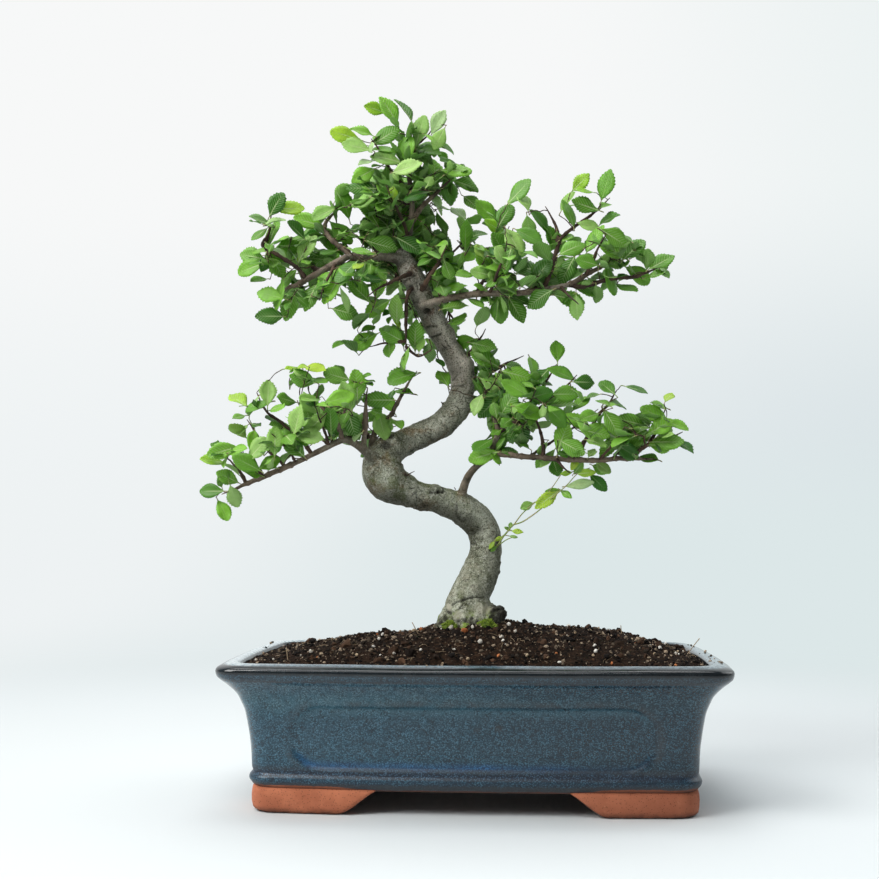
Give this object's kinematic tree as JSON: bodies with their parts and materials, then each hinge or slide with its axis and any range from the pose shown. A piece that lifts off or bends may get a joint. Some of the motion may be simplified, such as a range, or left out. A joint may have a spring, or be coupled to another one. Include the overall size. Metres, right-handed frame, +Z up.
{
  "type": "potted chinese elm bonsai",
  "caption": "Chinese elm bonsai with an S-bent trunk, spreading leafy branches and exposed surface roots, growing in a soil-filled rectangular glazed pot on corner feet.",
  "frame": {"origin": "centre of the whole object's bounding box in plan, on the plane the pot's feet stand on", "axes": "+Z up along the tree; +X to the right and +Y to the back as the pot's long front face is seen"},
  "size_m": [0.3262, 0.193, 0.4573],
  "materials": {
    "pot_glaze": "glossy speckled slate-blue glaze, unglazed terracotta feet",
    "net": "matte black plastic net",
    "bark": "matt grey-brown mottled bark",
    "soil": "dark brown granular peat with pale grains",
    "moss": "matt bright green moss",
    "leaf": "satin mid-green leaf with a paler underside"
  },
  "bodies": {
    "root": {"drain_mesh_left": "net", "drain_mesh_right": "net", "moss_left": "moss", "moss_right": "moss", "pot": "pot_glaze", "shoot_crown_1": "leaf", "shoot_crown_2": "leaf", "shoot_crown_3": "leaf", "shoot_crown_4": "leaf", "shoot_crown_5": "leaf", "shoot_crown_6": "leaf", "shoot_crown_7": "leaf", "shoot_crown_8": "leaf", "shoot_hanging_1": "leaf", "shoot_left_back_1": "leaf", "shoot_left_back_2": "leaf", "shoot_left_lower_1": "leaf", "shoot_left_lower_2": "leaf", "shoot_left_lower_3": "leaf", "shoot_left_lower_4": "leaf", "shoot_left_lower_5": "leaf", "shoot_left_upper_1": "leaf", "shoot_left_upper_2": "leaf", "shoot_left_upper_3": "leaf", "shoot_left_upper_4": "leaf", "shoot_right_lower_1": "leaf", "shoot_right_lower_2": "leaf", "shoot_right_lower_3": "leaf", "shoot_right_lower_4": "leaf", "shoot_right_lower_5": "leaf", "shoot_right_lower_6": "leaf", "shoot_right_mid_1": "leaf", "shoot_right_mid_2": "leaf", "shoot_right_upper_1": "leaf", "shoot_right_upper_2": "leaf", "shoot_right_upper_3": "leaf", "shoot_right_upper_4": "leaf", "shoot_right_upper_5": "leaf", "shoot_right_upper_6": "leaf", "soil": "soil", "trunk": "bark"}
  },
  "joints": []
}
